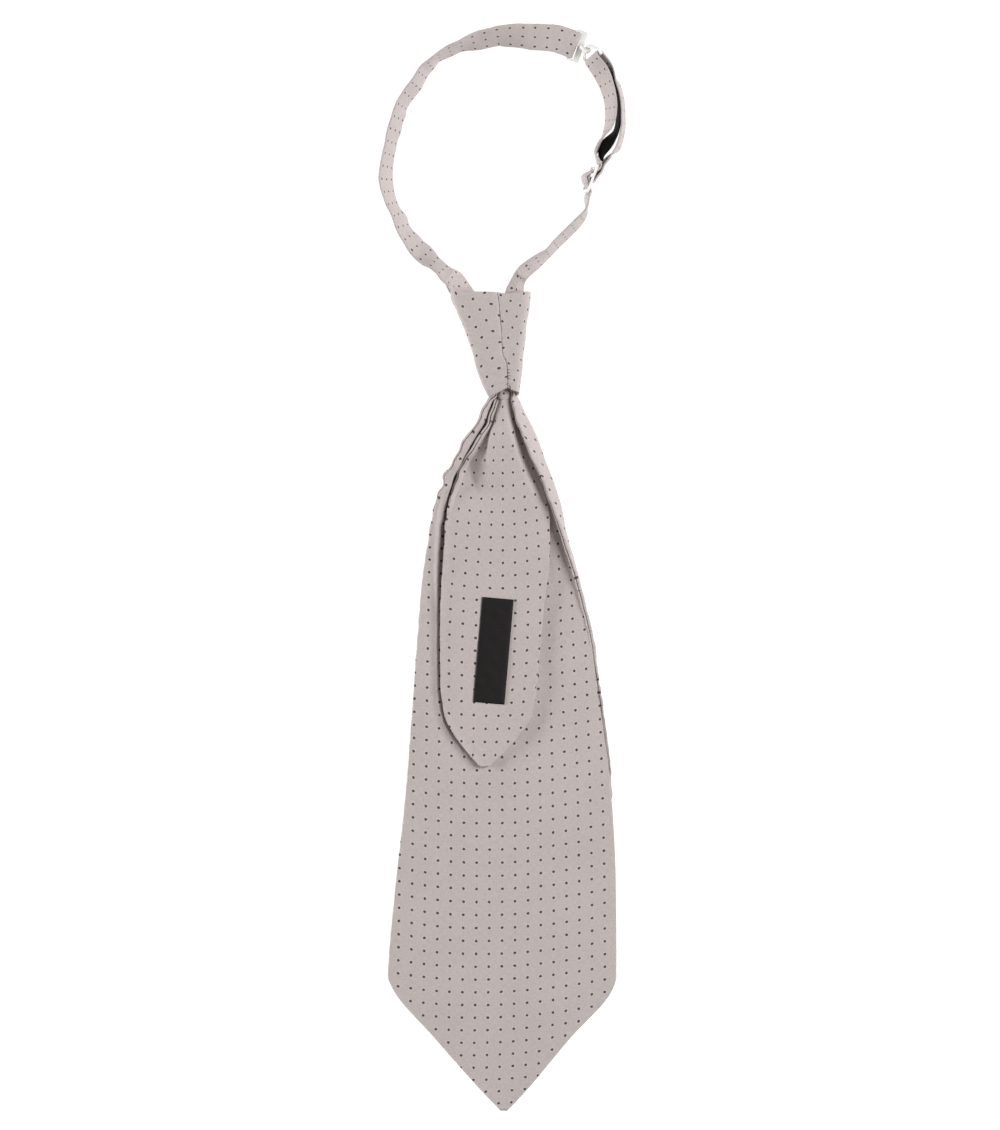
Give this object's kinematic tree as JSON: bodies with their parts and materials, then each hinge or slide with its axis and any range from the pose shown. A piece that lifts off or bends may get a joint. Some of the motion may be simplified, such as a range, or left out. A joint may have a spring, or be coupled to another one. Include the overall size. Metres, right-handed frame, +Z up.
{
  "type": "ascot tie",
  "caption": "Ready-tied silk ascot lying face down: pointed wide blade, narrow tail with a woven label, tapered knot and an adjustable hook-and-eye neckband.",
  "frame": {"origin": "centre of the bounding box's underside, on the surface that the tie lies on", "axes": "+Y runs along the tie from the blade's point to the neckband, +Z is up and faces the back of the tie, +X is to the right seen from above"},
  "size_m": [0.135, 0.5988, 0.021],
  "materials": {
    "silk": "silver grey woven silk with small dark pin dots",
    "label_satin": "black woven satin label",
    "black_tape": "black woven tape",
    "white_plastic": "off-white moulded plastic"
  },
  "bodies": {
    "root": {"blade_face": "silk", "blade_lining": "silk", "tail_face": "silk", "tail_lining": "silk", "label": "label_satin", "knot_wrap": "silk", "neckband_long": "silk", "neckband_short": "silk", "adjuster_tape": "black_tape", "slider": "white_plastic", "eye_clip": "white_plastic", "hook_clip": "white_plastic"}
  },
  "joints": []
}
